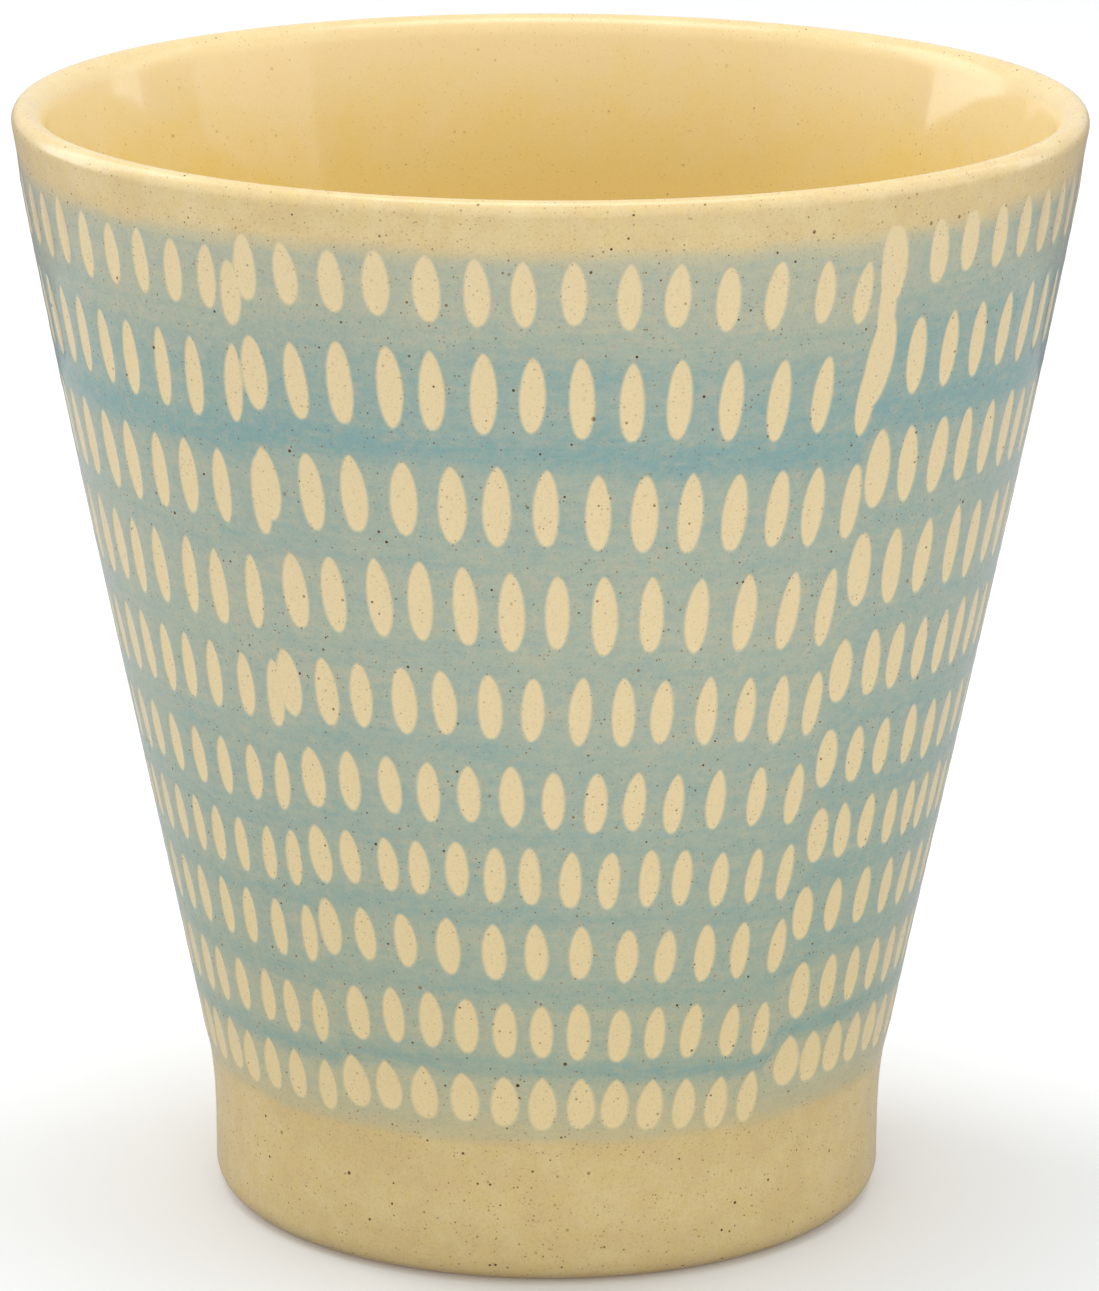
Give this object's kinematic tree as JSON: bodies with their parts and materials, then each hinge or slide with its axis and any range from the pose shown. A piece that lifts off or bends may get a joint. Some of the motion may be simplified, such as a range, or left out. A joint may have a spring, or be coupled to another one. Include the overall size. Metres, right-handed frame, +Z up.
{
  "type": "stoneware mug",
  "caption": "Handle-less stoneware cup with a flaring wall, an upright foot, a rounded lip and a band of brushed slip carved with rows of small leaf-shaped marks.",
  "frame": {"origin": "centre of the foot ring's resting plane", "axes": "+Z up along the cup's turning axis, from the foot to the mouth; the cup is round, so X and Y are any two level directions"},
  "size_m": [0.0908, 0.0908, 0.0955],
  "materials": {
    "glazed_clay": "gloss",
    "glazed_slip": "gloss"
  },
  "bodies": {
    "root": {"stoneware_body": "glazed_clay", "slip_band": "glazed_slip"}
  },
  "joints": []
}
